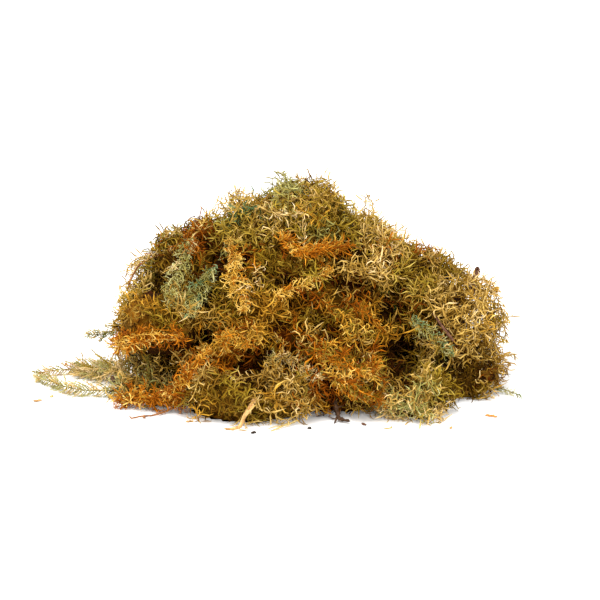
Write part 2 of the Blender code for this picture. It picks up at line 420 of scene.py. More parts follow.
tree, given, result = new_tree("moss colour", "ShaderNodeTree", [], [("Colour", "NodeSocketColor")])
split = add(tree, "ShaderNodeSeparateXYZ", {0: add(tree, "ShaderNodeUVMap", uv_map=MAP).outputs[0]})
steps = times(tree, split.outputs["X"], float(SHADES))
shade = over(tree, sums(tree, "FLOOR", steps), float(SHADES - 1))
along = sums(tree, "FRACT", steps)
ramp = add(tree, "ShaderNodeValToRGB", {0: split.outputs["Y"]})
stops = [
    (start + KIND_WIDTH * i / 2, colour)
    for start, colours in KINDS.values() for i, colour in enumerate(colours)]
for position, colour in stops[1:-1]:
    ramp.color_ramp.elements.new(position)
for element, (position, colour) in zip(ramp.color_ramp.elements, stops):
    element.position = position
    element.color = (*colour, 1)
# Painted shade: each branchlet is dimmer at its base than at its tip, partly the moss's own paler tips, and dimmer
# again by its step of painted shade.
reach = add(tree, "ShaderNodeMapRange", {"Value": along, "To Min": 0.5, "To Max": 1.15}).outputs[0]
depth = add(tree, "ShaderNodeMapRange", {"Value": shade, "To Min": 0.03, "To Max": 1.0}).outputs[0]
painted_light = times(tree, reach, depth)
painted_shade_tint = {i: sums(tree, "POWER", painted_light, power) for i, power in enumerate(PAINTED_SHADE_BROWNING)}
painted_shade_tint = add(tree, "ShaderNodeCombineXYZ", painted_shade_tint).outputs[0]
shaded = add(tree, "ShaderNodeVectorMath", {0: ramp.outputs[0], 1: painted_shade_tint}, operation="MULTIPLY")
tree.links.new(shaded.outputs[0], result.inputs["Colour"])
moss_colour_and_painted_shade = tree

moss_finish = bpy.data.materials.new("dry moss")
moss_finish.use_nodes = True
tree = moss_finish.node_tree
shader = tree.nodes["Principled BSDF"]
colours = add(tree, "ShaderNodeGroup", node_tree=moss_colour_and_painted_shade)
tree.links.new(colours.outputs["Colour"], shader.inputs["Base Color"])
shader.inputs["Roughness"].default_value = 0.75
shader.inputs["Specular IOR Level"].default_value = 0.04


# Dressing a stem: branchlets stand round a moss stem in a spiral, leaning towards its tip.
# They shorten towards the tip, and those near the ground are pressed flat along it.

tree, given, result = new_tree(
    "leafy shoots",
    "GeometryNodeTree",
    [
        ("Stems", "NodeSocketGeometry", None),
        ("Leaves", "NodeSocketCollection", None),
        ("Shapes", "NodeSocketInt", 8),
        ("Leaf Spacing", "NodeSocketFloat", 0.9 * MM),
        ("Leaf Length", "NodeSocketFloat", 7.4 * MM),
        ("Leaf Tilt", "NodeSocketFloat", 0.95),
        ("Tilt Spread", "NodeSocketFloat", 0.55),
        ("Leaf Turn", "NodeSocketFloat", math.radians(137.5)),
        ("Stem Radius", "NodeSocketFloat", 0.22 * MM),
        ("Seed", "NodeSocketInt", 0),
        ("Finish", "NodeSocketMaterial", None),
    ],
    [("Moss", "NodeSocketGeometry")],
)
leafy_shoots = tree
SOFT_FLOOR = 1.0 * MM


def random_float(tree, low, high, seed, offset):
    """A random number for each element, from the tree's own seed and an offset."""
    number = add(tree, "FunctionNodeRandomValue", {"Min": low, "Max": high}, data_type="FLOAT")
    tree.links.new(plus(tree, seed, float(offset)), number.inputs["Seed"])
    return number.outputs["Value"]


def read(tree, label):
    """A number stored under a name."""
    return add(tree, "GeometryNodeInputNamedAttribute", {"Name": label}, data_type="FLOAT").outputs["Attribute"]


def store(tree, geometry, label, value, domain="POINT", data_type="FLOAT"):
    """The geometry with a value stored under a name."""
    node = add(
        tree, "GeometryNodeStoreNamedAttribute", {"Geometry": geometry, "Name": label},
        data_type=data_type, domain=domain)
    tree.links.new(value, node.inputs["Value"])
    return node.outputs["Geometry"]


def turned(tree, rotation, axis, angle):
    """A rotation turned about one of its own axes."""
    step = add(tree, "FunctionNodeAxisAngleToRotation", {"Axis": axis, "Angle": angle}).outputs[0]
    return add(
        tree, "FunctionNodeRotateRotation", {"Rotation": rotation, "Rotate By": step},
        rotation_space="LOCAL").outputs[0]


def copies(tree, size, links):
    """Copies of a shape at points, scaled by a size and made real."""
    scale = add(tree, "ShaderNodeCombineXYZ", {0: size, 1: size, 2: size}).outputs[0]
    made = add(tree, "GeometryNodeInstanceOnPoints", {**links, "Scale": scale}).outputs[0]
    return add(tree, "GeometryNodeRealizeInstances", {"Geometry": made}).outputs[0]


# Where the branchlets stand, each a little off its stem's kind of moss and shade.
seed = given.outputs["Seed"]
parameter = add(tree, "GeometryNodeSplineParameter").outputs["Factor"]
stems = store(tree, given.outputs["Stems"], "reach", parameter)
points = add(
    tree, "GeometryNodeCurveToPoints", {"Curve": stems, "Length": given.outputs["Leaf Spacing"]}, mode="LENGTH")
tone = plus(tree, read(tree, "tone"), random_float(tree, -0.03, 0.03, seed, 6))
dotted = store(tree, points.outputs["Points"], "tone", tone)
lighter = plus(tree, read(tree, "shade"), random_float(tree, -0.2, 0.2, seed, 7))
dotted = store(tree, dotted, "shade", add(tree, "ShaderNodeClamp", {"Value": lighter}).outputs[0])

# How each is turned round its stem, leant away from it and twisted about itself.
index = add(tree, "GeometryNodeInputIndex").outputs[0]
roll = plus(tree, times(tree, index, given.outputs["Leaf Turn"]), random_float(tree, -0.5, 0.5, seed, 1))
lean = times(tree, random_float(tree, -1.0, 1.0, seed, 2), given.outputs["Tilt Spread"])
lean = plus(tree, given.outputs["Leaf Tilt"], lean)
lean = times(tree, lean, minus(tree, 1.15, times(tree, read(tree, "reach"), 0.45)))
posed = add(tree, "FunctionNodeAlignRotationToVector", {"Vector": points.outputs["Tangent"]}, axis="X").outputs[0]
posed = turned(tree, posed, (1, 0, 0), roll)
posed = turned(tree, posed, (0, -1, 0), lean)
posed = turned(tree, posed, (1, 0, 0), random_float(tree, -0.9, 0.9, seed, 3))

# Which of the shapes it has, and its size.
size = times(tree, given.outputs["Leaf Length"], random_float(tree, 0.6, 1.25, seed, 4))
shortened = times(tree, sums(tree, "POWER", read(tree, "reach"), 3.0), 0.5)
size = times(tree, size, minus(tree, 1.0, shortened))
pick = add(tree, "FunctionNodeRandomValue", {"Min": 0}, data_type="INT")
tree.links.new(minus(tree, given.outputs["Shapes"], 1.0), pick.inputs["Max"])
tree.links.new(plus(tree, seed, 5.0), pick.inputs["Seed"])
shapes = add(
    tree, "GeometryNodeCollectionInfo",
    {"Collection": given.outputs["Leaves"], "Separate Children": True, "Reset Children": True}).outputs[0]
blades = copies(tree, size, {
    "Points": dotted, "Instance": shapes, "Pick Instance": True,
    "Instance Index": pick.outputs["Value"], "Rotation": posed})

# The stalk itself, three-sided and thinner towards its tip.
ring = add(
    tree, "GeometryNodeCurvePrimitiveCircle", {"Resolution": 3, "Radius": given.outputs["Stem Radius"]},
    mode="RADIUS").outputs[0]
around = add(tree, "ShaderNodeSeparateXYZ", {0: add(tree, "GeometryNodeInputPosition").outputs[0]}).outputs["X"]
ring = store(tree, ring, "across", over(tree, around, given.outputs["Stem Radius"]))
thinned = minus(tree, 1.0, times(tree, parameter, 0.7))
stalks = add(tree, "GeometryNodeSetCurveRadius", {"Curve": stems, "Radius": thinned}).outputs[0]
stalks = add(tree, "GeometryNodeCurveToMesh", {"Curve": stalks, "Profile Curve": ring, "Fill Caps": True}).outputs[0]
stalks = store(tree, stalks, "along", times(tree, read(tree, "reach"), 0.5))

# Whatever dips under the ground is eased up to lie just over it.
joined = add(tree, "GeometryNodeJoinGeometry")
for geometry in (stalks, blades):
    tree.links.new(geometry, joined.inputs[0])
parts = add(tree, "ShaderNodeSeparateXYZ", {0: add(tree, "GeometryNodeInputPosition").outputs[0]})
deep = minus(tree, over(tree, parts.outputs["Z"], SOFT_FLOOR), 1.0)
height = add(tree, "GeometryNodeSwitch", {
    "Switch": sums(tree, "LESS_THAN", parts.outputs["Z"], SOFT_FLOOR), "False": parts.outputs["Z"],
    "True": times(tree, SOFT_FLOOR, sums(tree, "EXPONENT", deep))}, input_type="FLOAT").outputs[0]
settled = {0: parts.outputs["X"], 1: parts.outputs["Y"], 2: height}
settled = add(tree, "ShaderNodeCombineXYZ", settled).outputs[0]
moss = add(tree, "GeometryNodeSetPosition", {"Geometry": joined.outputs[0], "Position": settled}).outputs[0]

# The map: shade and place along the branchlet one way, kind of moss the other.
bin_start = sums(tree, "FLOOR", times(tree, read(tree, "shade"), SHADES - 0.01))
u = plus(tree, bin_start, plus(tree, 0.04, times(tree, read(tree, "along"), 0.92)))
v = plus(tree, read(tree, "tone"), times(tree, read(tree, "across"), 0.004))
uv = add(tree, "ShaderNodeCombineXYZ", {0: over(tree, u, float(SHADES)), 1: v}).outputs[0]
moss = store(tree, moss, MAP, uv, domain="CORNER", data_type="FLOAT2")
moss = add(tree, "GeometryNodeSetMaterial", {"Geometry": moss, "Material": given.outputs["Finish"]}).outputs[0]
tree.links.new(moss, result.inputs[0])


# Laying stems: on a tuft the shoots sprawl along its outside, rise and sink, and curl as they dry.
# A stem starts anywhere on the tuft's stretch of skin and follows the heap's skin from there.

tree, given, result = new_tree(
    "sprawling stems",
    "GeometryNodeTree",
    [
        ("Surface", "NodeSocketGeometry", None),
        ("Skin", "NodeSocketObject", None),
        ("Density", "NodeSocketFloat", 60000.0),
        ("Stem Length", "NodeSocketFloat", 20 * MM),
        ("Length Spread", "NodeSocketFloat", 0.35),
        ("Sink", "NodeSocketFloat", 3.0 * MM),
        ("Arch", "NodeSocketFloat", 2.5 * MM),
        ("Curl", "NodeSocketFloat", 9 * MM),
        ("Cling", "NodeSocketFloat", 0.85),
        ("Seed", "NodeSocketInt", 0),
    ],
    [("Stems", "NodeSocketGeometry")],
)
sprawling_stems = tree
CURL_GRAIN = 70.0


def nearest(tree, mesh, value, kind):
    """A value taken from the nearest place on a mesh."""
    node = add(tree, "GeometryNodeSampleNearestSurface", {"Mesh": mesh}, data_type=kind)
    tree.links.new(value, node.inputs["Value"])
    return node.outputs["Value"]


def vectors(tree, operation, first, second):
    """One step of arithmetic on vectors, or on a vector and its scale, as its result's socket."""
    links = {0: first, "Scale" if operation == "SCALE" else 1: second}
    return add(tree, "ShaderNodeVectorMath", links, operation=operation).outputs[0]


def curled(tree, stems, amount):
    """The stems pushed about by a smooth noise, each by its own."""
    place = vectors(tree, "SCALE", add(tree, "GeometryNodeInputPosition").outputs[0], CURL_GRAIN)
    own = add(tree, "ShaderNodeCombineXYZ", {0: read(tree, "phase")}).outputs[0]
    where = vectors(tree, "ADD", place, own)
    drift = add(tree, "ShaderNodeTexNoise", {"Vector": where, "Scale": 1.0, "Detail": 1.0}).outputs["Color"]
    push = vectors(tree, "SCALE", vectors(tree, "SUBTRACT", drift, (0.5, 0.5, 0.5)), amount)
    return add(tree, "GeometryNodeSetPosition", {"Geometry": stems, "Offset": push}).outputs[0]


# Where the stems start, which way each runs and how long it is. Those that start deep get painted shade.
seed = given.outputs["Seed"]
cover = times(tree, given.outputs["Density"], read(tree, "cover"))
starts = add(
    tree, "GeometryNodeDistributePointsOnFaces",
    {"Mesh": given.outputs["Surface"], "Density": cover, "Seed": seed}, distribute_method="RANDOM")
line = add(tree, "GeometryNodeCurvePrimitiveLine", {"Start": (-0.35, 0, 0), "End": (0.65, 0, 0)}, mode="POINTS")
line = add(tree, "GeometryNodeResampleCurve", {"Curve": line.outputs[0], "Count": 6}).outputs[0]
aim = turned(tree, starts.outputs["Rotation"], (0, 0, 1), random_float(tree, 0.0, 2 * math.pi, seed, 1))
spread = times(tree, random_float(tree, -1.0, 1.0, seed, 2), given.outputs["Length Spread"])
length = times(tree, given.outputs["Stem Length"], plus(tree, 1.0, spread))
sunk = random_float(tree, 0.0, 1.0, seed, 3)
points = store(tree, starts.outputs["Points"], "height", sunk)
sunk_painted_shade = minus(tree, 1.0, times(tree, sunk, 0.7))
points = store(tree, points, "shade", times(tree, read(tree, "shade"), sunk_painted_shade))
points = store(tree, points, "phase", random_float(tree, 0.0, 100.0, seed, 4))
points = store(tree, points, "stray", random_float(tree, 0.0, 1.0, seed, 5))
stems = copies(tree, length, {"Points": points, "Instance": line, "Rotation": aim})
stems = curled(tree, stems, times(tree, given.outputs["Curl"], 2.0))

# Each is laid on the skin in an arch, a few stray high above it, and drawn down into the hollows, where painted
# shade darkens it.
skin_shape = add(tree, "GeometryNodeObjectInfo", {"Object": given.outputs["Skin"]}).outputs["Geometry"]
place = add(tree, "GeometryNodeInputPosition").outputs[0]
foot = nearest(tree, skin_shape, place, "FLOAT_VECTOR")
outwards = nearest(tree, skin_shape, add(tree, "GeometryNodeInputNormal").outputs[0], "FLOAT_VECTOR")
factor = add(tree, "GeometryNodeSplineParameter").outputs["Factor"]
hump = sums(tree, "SINE", times(tree, factor, math.pi))
stray = plus(tree, 1.0, times(tree, sums(tree, "POWER", read(tree, "stray"), 14.0), 2.5))
rise = times(tree, given.outputs["Arch"], hump, stray)
base = times(tree, given.outputs["Sink"], times(tree, read(tree, "height"), -2.0))
hollow = nearest(tree, skin_shape, read(tree, "hollow"), "FLOAT")
level = plus(tree, base, rise, times(tree, hollow, -HOLLOW_DEPTH))
laid = vectors(tree, "ADD", foot, vectors(tree, "SCALE", outwards, level))
laid = add(tree, "ShaderNodeMix", {"Factor": given.outputs["Cling"], "A": place, "B": laid}, data_type="VECTOR")
stems = add(tree, "GeometryNodeSetPosition", {"Geometry": stems, "Position": laid.outputs["Result"]}).outputs[0]
hollow_painted_shade = minus(tree, 1.0, times(tree, hollow, 0.97))
stems = store(tree, stems, "shade", times(tree, read(tree, "shade"), hollow_painted_shade))
stems = curled(tree, stems, given.outputs["Curl"])
tree.links.new(stems, result.inputs[0])


# Making a piece: the node groups run on a stretch of skin or on drawn lines, and the result is
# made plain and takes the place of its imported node.

def with_inputs(modifier, **values):
    """Sets a Geometry Nodes modifier's inputs by their names."""
    for item in modifier.node_group.interface.items_tree:
        label = item.name.replace(" ", "_")
        if item.item_type == "SOCKET" and item.in_out == "INPUT" and label in values:
            modifier[item.identifier] = values[label]


def dressed(name, mesh, lay, laying, seed, dressing):
    """The moss on a mesh: one node group lays its stems, and another dresses them."""
    obj = in_scene(name, mesh)
    stems = obj.modifiers.new("stems", "NODES")
    stems.node_group = lay
    with_inputs(stems, **laying)
    shoots = obj.modifiers.new("leaves", "NODES")
    shoots.node_group = leafy_shoots
    with_inputs(shoots, Leaves=leaves, Seed=seed, Finish=moss_finish, **dressing)
    return made_plain(obj)


def placed(name, mesh):
    """A finished piece that stands for its CAD node."""
    piece = in_scene(name + "_piece", mesh)
    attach(piece, "root")
    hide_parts(name)


tree, given, result = new_tree(
    "drawn stems", "GeometryNodeTree", [("Lines", "NodeSocketGeometry", None)], [("Stems", "NodeSocketGeometry")])
drawn = add(tree, "GeometryNodeMeshToCurve", {"Mesh": given.outputs["Lines"]}).outputs[0]
tree.links.new(drawn, result.inputs["Stems"])
drawn_stems = tree


def along_stems(name, stems, seed, **dressing):
    """The moss on drawn stems, each (points, place in the map's kinds, shade)."""
    mesh = bpy.data.meshes.new(name + "_stems")
    points, edges, tones, shades = [], [], [], []
    for line, tone, shade in stems:
        edges += [(len(points) + i, len(points) + i + 1) for i in range(len(line) - 1)]
        points += line
        tones += [tone] * len(line)
        shades += [shade] * len(line)
    mesh.from_pydata(points, edges, [])
    marked(mesh, "POINT", tone=tones, shade=shades)
    return dressed(name, mesh, drawn_stems, {}, seed, dressing)


# The fronds: whole shoots of feather moss that kept their shape and lie on the heap or trail from it.
# Each is a main stem with side shoots along it, dressed as the tufts are but closer.

FRONT = Vector((0, -1, 0))
MAIN_STEMS = 5


def along_line(line, share):
    """The point and the direction at a share of the way along a line."""
    at = min(share, 0.999) * (len(line) - 1)
    i = int(at)
    return line[i].lerp(line[i + 1], at - i), (line[i + 1] - line[i]).normalized()


def wandering(line, reach, seed):
    """A line pushed about by smooth noise, up to a reach."""
    start = Vector((seed * 3.1, -seed * 7.7, seed * 1.3))
    return [p + noise.noise_vector(p / (7 * MM) + start) * reach for p in line]


def beside(line, far, angle, seed):
    """A stem that runs beside a line, so far from it at an angle about it, drawn in at both ends."""
    made = []
    for i, point in enumerate(line):
        forwards = along_line(line, i / (len(line) - 1))[1]
        side = forwards.cross(FRONT).normalized()
        up = side.cross(forwards)
        in_out = math.sin(math.pi * (0.1 + 0.8 * i / (len(line) - 1)))
        made.append(point + (side * math.cos(angle) + up * math.sin(angle)) * far * in_out)
    return wandering(made, 1.2 * MM, seed)


def side_shoot(line, share, length, tilt, angle, curl, steps=5):
    """A short stem that leaves a line at a tilt, curling back towards the line's own direction."""
    point, forwards = along_line(line, share)
    side = forwards.cross(FRONT).normalized()
    outwards = side * math.cos(angle) + side.cross(forwards) * math.sin(angle)
    made = [point]
    for step in range(steps):
        turn = tilt - curl * step / steps
        made.append(made[-1] + (forwards * math.cos(turn) + outwards * math.sin(turn)) * length / steps)
    return made


def tone_of(kind, share):
    """Where in the map a kind of moss lies, from its dark colour to its pale one."""
    return KINDS[kind][0] + KIND_WIDTH * share


def bushy_frond(line, kinds, seed, width, count, shade):
    """A thick frond: stems side by side, and shoots that stand out all round."""
    rng = np.random.default_rng(seed)
    stems = []
    for i in range(MAIN_STEMS):
        kind = kinds[rng.integers(len(kinds))]
        far = 0.0 if i == 0 else width * rng.uniform(0.15, 0.4)
        stem = beside(line, far, rng.uniform(0, 2 * math.pi), seed + i)
        stems.append((stem, tone_of(kind, rng.uniform(0.4, 0.9)), shade * rng.uniform(0.6, 0.95)))
    for i in range(count):
        kind = kinds[rng.integers(len(kinds))]
        shoot = side_shoot(
            line, rng.uniform(0.02, 0.95), width * rng.uniform(0.5, 0.95), rng.uniform(0.5, 1.1),
            rng.uniform(-0.4, math.pi + 0.4), rng.uniform(-0.3, 0.9))
        stems.append((shoot, tone_of(kind, rng.uniform(0.1, 0.85)), shade * rng.uniform(0.65, 1.1)))
    return stems


def feather(line, kinds, seed, width, count):
    """A flat frond: side shoots in two rows, longest in the middle and curled towards its tip."""
    rng = np.random.default_rng(seed)
    stems = [(wandering(line, 0.5 * MM, seed), tone_of(kinds[0], 0.5), 0.85)]
    for i in range(count):
        share = 0.03 + 0.94 * (i + rng.uniform(-0.3, 0.3)) / count
        longest = 0.35 + 0.65 * math.sin(math.pi * min(max(share, 0.0), 1.0) ** 0.8)
        length = width * longest * rng.uniform(0.6, 1.1)
        angle = (0.35 if i % 2 else math.pi - 0.35) + rng.normal(0, 0.35)
        kind = kinds[min(int(rng.uniform(0, 1) ** 2 * len(kinds)), len(kinds) - 1)]
        shoot = side_shoot(line, share, length, rng.uniform(0.75, 1.15), angle, rng.uniform(0.2, 1.0))
        stems.append((shoot, tone_of(kind, rng.uniform(0.3, 1.0)), rng.uniform(0.75, 1.05)))
    return stems


def mane(line, seed, count=110):
    """The fluff round a trailing frond's root, which stands out towards the front."""
    rng = np.random.default_rng(seed)
    root = [point + FRONT * 13 * MM * (1 - i / len(line)) ** 2 for i, point in enumerate(line)]
    stems = []
    for _ in range(count):
        shoot = side_shoot(
            root, 0.14 + rng.uniform(0, 0.5) ** 1.3, rng.uniform(6, 13) * MM, rng.uniform(0.4, 1.5),
            rng.uniform(0, 2 * math.pi), rng.uniform(-0.5, 1.2), steps=6)
        kind = ("sage", "straw", "straw", "olive")[rng.integers(4)]
        shoot = wandering(shoot, 2 * MM, rng.uniform(0, 9))
        stems.append((shoot, tone_of(kind, rng.uniform(0.4, 1.0)), rng.uniform(0.9, 1.1)))
    return stems


DOWN, UP, RIGHT, LEFT = (0, 0, -1), (0, 0, 1), (1, 0, 0), (-1, 0, 0)
# Each thick frond: where its tip lies, its kinds of moss, its width and how many shoots stand out.
BUSHY_FRONDS = {
    "upper_left_rust_frond": (RIGHT, ("rust", "rust", "rust", "gold"), 9, 44),
    "bright_orange_frond": (RIGHT, ("rust", "rust", "gold"), 10, 40),
    "drooping_rust_frond": (DOWN, ("rust", "rust", "gold"), 9, 34),
    "middle_orange_frond": (RIGHT, ("rust", "gold", "rust"), 8, 40),
    "right_rust_frond": (RIGHT, ("rust", "rust", "gold", "rust", "olive"), 9, 40),
    "front_rust_frond": (RIGHT, ("rust", "rust", "gold", "olive"), 8, 34),
    "lower_left_orange_frond": (RIGHT, ("rust", "rust", "rust", "gold"), 10, 62),
}
# Each flat frond, likewise.
FEATHERS = {
    "hanging_gold_frond": (DOWN, ("gold", "gold", "rust"), 7, 56),
    "gold_strand": (RIGHT, ("gold", "rust"), 4.5, 40),
    "left_sage_frond": (DOWN, ("sage", "sage", "straw"), 8, 44),
    "middle_sage_frond": (DOWN, ("sage", "sage", "pine"), 8, 40),
    "right_green_frond": (RIGHT, ("sage", "pine", "olive"), 6, 34),
    "front_straw_frond": (RIGHT, ("straw", "sage"), 6, 34),
    "trailing_straw_frond": (LEFT, ("straw", "sage", "straw", "rust"), 7, 84),
    "trailing_sage_frond": (LEFT, ("sage", "straw"), 7, 84),
    "left_green_sprig": (LEFT, ("sage", "straw", "pine"), 6, 40),
    "right_rim_frond": (DOWN, ("straw", "gold", "olive"), 5, 40),
    "right_curl_frond": (RIGHT, ("straw", "olive"), 3, 16),
    "right_foot_sprig": (RIGHT, ("sage", "pine"), 2.5, 14),
    "top_sprig": (UP, ("straw", "olive"), 2.5, 8),
    "left_shoulder_sprig": (LEFT, ("straw", "sage"), 3.5, 18),
}
# How far each lies in front of its packed strand, over the loose shoots of the tufts.
LIFTS = {"bushy": 3 * MM, "bright_orange_frond": 7 * MM, "flat": 1.5 * MM}
# The lower left frond climbs on to the right, over these places of the tables.
CLIMB = ((-42, -52, 12), (-38, -55, 18), (-33, -57, 25), (-28, -56, 31))

laid = []
for number, (name, (towards, kinds, width, count)) in enumerate(BUSHY_FRONDS.items()):
    lift = LIFTS.get(name, LIFTS["bushy"])
    line = [point + FRONT * lift for point in centreline(name, towards)]
    if name == "lower_left_orange_frond":
        line += [(Vector(place) + CENTRE_SHIFT) * MM for place in CLIMB]
    laid += line
    # Painted shade: the fronds on the left are kept at full light, the others a little dimmed.
    stems = bushy_frond(line, kinds, 11 + number, width * MM, count, 1.0 if "left" in name else 0.85)
    mesh = along_stems(
        name, stems, 40 + number, Leaf_Spacing=0.7 * MM, Leaf_Length=5.6 * MM, Leaf_Tilt=0.5, Tilt_Spread=0.35)
    placed(name, mesh)
for number, (name, (towards, kinds, width, count)) in enumerate(FEATHERS.items()):
    line = [point + FRONT * LIFTS["flat"] for point in centreline(name, towards)]
    laid += line
    stems = feather(line, kinds, 71 + number, width * MM, count)
    if name == "trailing_straw_frond":
        stems += mane(line, number)
    mesh = along_stems(
        name, stems, 90 + number, Leaf_Spacing=0.6 * MM, Leaf_Length=3.4 * MM, Leaf_Tilt=0.75,
        Tilt_Spread=0.35, Stem_Radius=0.25 * MM)
    placed(name, mesh)
laid_points = KDTree(len(laid))
for i, point in enumerate(laid):
    laid_points.insert(point, i)
laid_points.balance()


# The tufts: handfuls of tangled moss, pulled from different mats and dried together.
# Each keeps its own mixture of kinds, and has a matted inside painted dark brown as shade, which shows between the
# shoots.

# Each tuft's shares of the kinds of moss, and how light it is, a factor on its painted shade.
MIXTURES = {
    "crown_tuft": ({"straw": 7, "olive": 5, "rust": 0.4, "sage": 1}, 1.0),
    "left_crown_tuft": ({"olive": 6, "straw": 5, "sage": 1.5, "rust": 0.6}, 0.95),
    "left_shoulder_tuft": ({"olive": 8, "rust": 1.2, "sage": 1.2, "straw": 1.5}, 0.75),
    "right_shoulder_tuft": ({"straw": 8, "olive": 3.5, "sage": 1, "gold": 0.8, "rust": 0.4}, 1.0),
    "left_flank_tuft": ({"straw": 12, "gold": 2, "olive": 2, "sage": 0.8, "rust": 0.3}, 1.5),
    "right_flank_tuft": ({"olive": 6, "straw": 3, "gold": 0.8, "rust": 0.6}, 0.85),
    "right_lobe_tuft": ({"straw": 9, "gold": 1.5, "olive": 2.5, "rust": 0.4}, 0.95),
    "middle_tuft": ({"olive": 5, "gold": 2.5, "rust": 1.8, "straw": 2}, 0.78),
    "front_left_tuft": ({"olive": 6, "straw": 3, "gold": 1, "rust": 0.8}, 0.7),
    "front_left_foot_tuft": ({"straw": 5, "sage": 4, "olive": 2.5}, 1.0),
    "front_middle_tuft": ({"straw": 6, "gold": 2, "olive": 4, "rust": 0.4}, 0.95),
    "front_right_tuft": ({"straw": 3, "rust": 2.5, "olive": 4, "gold": 3}, 0.8),
    "front_foot_tuft": ({"straw": 8, "olive": 2.5, "sage": 1.5}, 1.45),
    "right_foot_tuft": ({"olive": 5, "straw": 3, "rust": 1.2}, 0.6),
    "back_left_tuft": ({"olive": 6, "straw": 4, "sage": 1, "rust": 0.8}, 0.9),
    "back_middle_tuft": ({"olive": 5, "straw": 5, "gold": 1, "rust": 0.8}, 0.9),
    "back_right_tuft": ({"straw": 6, "olive": 4, "gold": 1, "rust": 0.6}, 0.95),
    "back_shoulder_tuft": ({"olive": 6, "straw": 5, "sage": 1, "rust": 0.4}, 0.95),
}
# Places on the heap's front where one kind gathers: its middle across and up, and how far it reaches.
PATCHES = (
    ("sage", -74, 10, 8), ("straw", -68, 18, 8), ("sage", -35, 47, 9), ("pine", -13, 88, 5), ("sage", 4, 95, 6),
    ("rust", 12, 99, 4), ("sage", 24, 75, 6), ("olive", 33, 84, 7), ("rust", -33, 75, 5), ("rust", -41, 70, 5),
    ("rust", -10, 83, 4), ("gold", 5, 43, 9), ("sage", -34, 3, 7), ("rust", 46, 66, 4), ("rust", 70, 44, 4),
    ("rust", 62, 50, 5), ("gold", -58, 38, 8), ("rust", -20, 20, 6), ("gold", -6, 40, 7), ("rust", 20, 8, 5),
    ("rust", 84, 46, 4), ("olive", 56, 30, 5), ("sage", 10, 2, 5), ("gold", 40, 38, 6), ("rust", 2, 28, 5),
    ("rust", -35, 19, 6), ("rust", -15, 29, 5), ("rust", 38, 42, 5), ("olive", 78, 12, 9), ("sage", 60, 0, 5),
    ("rust", 80, 16, 3), ("rust", 92, 34, 3), ("rust", 74, 30, 3), ("olive", 70, 48, 9), ("sage", 56, 24, 4),
    ("gold", 50, 30, 4), ("rust", -8, 70, 4), ("gold", 18, 80, 4), ("rust", 22, 62, 4), ("sage", -10, 46, 5),
    ("straw", 76, 46, 10), ("straw", 88, 20, 12), ("gold", 0, 90, 4), ("pine", 52, 44, 5), ("rust", 30, 54, 3),
)
# How far back the patches reach, and how deep the moss draws in where it mats, lies loose or meets
# the ground.
PATCH_BACK = 12
MAT_DEPTH = 6 * MM
LOOSE_DEPTH = 9 * MM
FOOT_DEPTH = 4 * MM


def kind_at(place, shares):
    """Where in the map a spot's kind of moss lies: kinds gather in clumps about a centimetre across."""
    shares = dict(shares)
    if place.y < PATCH_BACK:
        for kind, x, z, reach in PATCHES:
            near = smooth(1.5 - math.hypot(place.x - x, face_height(place) - z) / reach)
            if near > 0:
                shares[kind] = shares.get(kind, 0.02) * 10 ** (1.7 * near) + 4 * near
    best, most = None, -99.0
    for number, (kind, share) in enumerate(shares.items()):
        start = Vector((17.3 * number, -9.1 * number, 5.7 * number))
        score = math.log(share) + 2.4 * noise.noise(place / 8 + start) + 2.6 * noise.noise(place / 1.9 - start)
        if score > most:
            best, most = kind, score
    spread = 0.5 + 0.45 * noise.noise(place / 5) + 0.3 * noise.noise(place / 1.7)
    return KINDS[best][0] + KIND_WIDTH * min(max(spread, 0.0), 1.0)


def skin_stretch(number, name):
    """The stretch of skin a tuft owns, with its kinds of moss, cover and shade on the faces."""
    shares, light = MIXTURES[name]
    own = np.flatnonzero(skin_owner == number)
    used = sorted({v for i in own for v in skin_mesh.polygons[i].vertices})
    at = {v: i for i, v in enumerate(used)}
    mesh = bpy.data.meshes.new(name + "_skin")
    mesh.from_pydata(
        [skin_mesh.vertices[v].co for v in used], [],
        [[at[v] for v in skin_mesh.polygons[i].vertices] for i in own])
    tones, covers, shades = [], [], []
    for i in own:
        polygon = skin_mesh.polygons[i]
        place = table_place(polygon.center)
        tones.append(kind_at(place, shares))
        beneath = smooth(1.6 - (laid_points.find(polygon.center)[2]) / (5 * MM))
        sparse = max(0.4 * beneath, 0.3 * inside(place, CAVES), 0.5 * inside(place, LOOSE, 60))
        under = polygon.normal.z < -0.8 and place.z < 2
        covers.append(0.0 if under else 1.0 - sparse)
        # Painted light and shade: the tuft's lightness, patches of painted shade, dimmed in the painted shade spots
        # and brightened in the painted light spots.
        patchy_painted_shade = 1 + 0.35 * noise.noise(place / 7 + Vector((31, 5, 9)))
        shades.append(light * patchy_painted_shade * (1 - 0.5 * inside(place, PAINTED_SHADE_SPOTS) + 0.5 * inside(place, PAINTED_LIGHT_SPOTS)))
    marked(mesh, "FACE", tone=tones, cover=covers, shade=shades)
    return mesh


